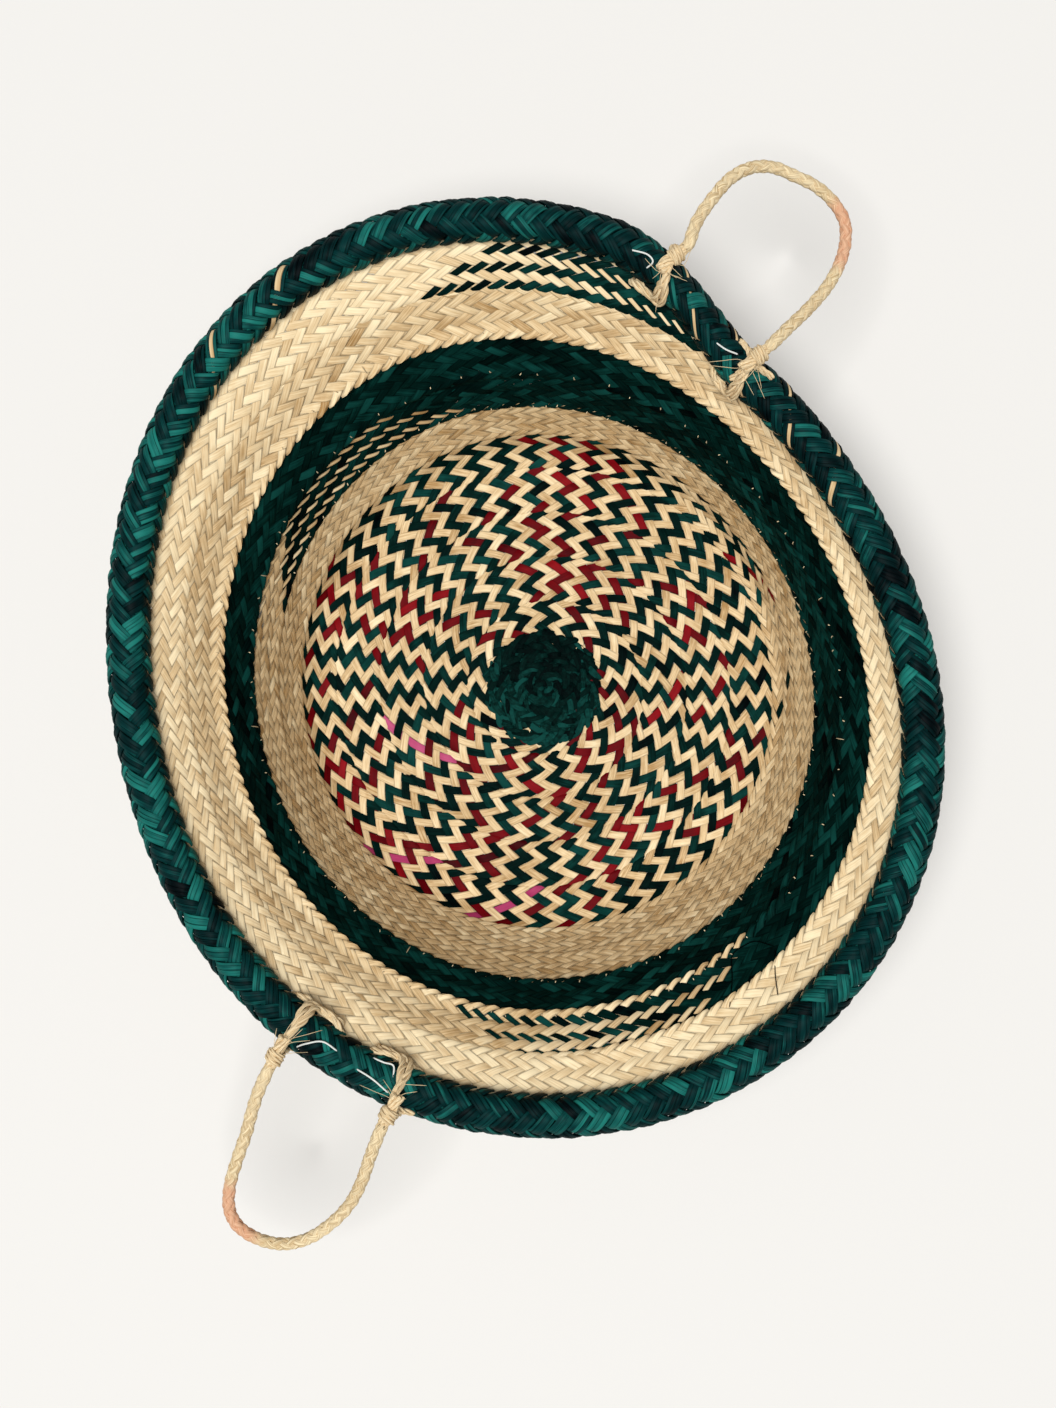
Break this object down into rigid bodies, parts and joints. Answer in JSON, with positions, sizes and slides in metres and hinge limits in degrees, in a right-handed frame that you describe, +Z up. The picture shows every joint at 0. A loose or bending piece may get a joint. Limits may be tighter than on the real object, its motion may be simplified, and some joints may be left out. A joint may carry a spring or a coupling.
{
  "type": "palm leaf basket",
  "caption": "Open oval bowl basket of a spiral-sewn twill plait of natural and dyed palm leaf, with a thick braided rim and short rope loop handles that swing.",
  "frame": {"origin": "middle of the base's underside, where the coil starts, on the floor", "axes": "+Z up through the open mouth, +Y towards the end whose right half carries handle a, +X to the right of it seen from above"},
  "size_m": [0.4226, 0.5596, 0.1397],
  "materials": {
    "palm_natural": "split palm leaf, dry, faintly glossy along the grain",
    "palm_green": "palm leaf dyed dark green before plaiting",
    "palm_crimson": "palm leaf dyed dark red before plaiting",
    "palm_pink": "palm leaf dyed pink before plaiting",
    "rim_green": "thick palm leaf braid dyed blue green",
    "rope_fibre": "twisted palm fibre, rough, with loose ends"
  },
  "bodies": {
    "body": {"centre_start": "palm_green", "centre_coil": "palm_green", "base_turn_1": "palm_natural", "base_turn_2": "palm_natural", "base_turn_3": "palm_natural", "base_turn_4": "palm_natural", "corner_turn": "palm_natural", "wall_turn_1": "palm_natural", "wall_turn_2": "palm_natural", "wall_turn_3": "palm_green", "wall_turn_4": "palm_green", "wall_turn_5": "palm_natural", "rim_core": "palm_natural", "rim_braid": "rim_green", "handle_a_tie_1": "rope_fibre", "handle_a_knot_1": "rope_fibre", "handle_a_tie_2": "rope_fibre", "handle_a_knot_2": "rope_fibre", "handle_b_tie_1": "rope_fibre", "handle_b_knot_1": "rope_fibre", "handle_b_tie_2": "rope_fibre", "handle_b_knot_2": "rope_fibre"},
    "handle_a": {"handle_a_rope": "rope_fibre"},
    "handle_b": {"handle_b_rope": "rope_fibre"}
  },
  "joints": [
    {"name": "handle_a_swing", "type": "hinge", "parent": "body", "child": "handle_a", "pos_m": [0.07884, 0.2178, 0.13334], "axis": [0.649, -0.7498, -0.1285], "range_deg": [-40, 110]},
    {"name": "handle_b_swing", "type": "hinge", "parent": "body", "child": "handle_b", "pos_m": [-0.1291, -0.19035, 0.13109], "axis": [-0.8898, 0.4563, 0.0081], "range_deg": [-40, 110]}
  ]
}
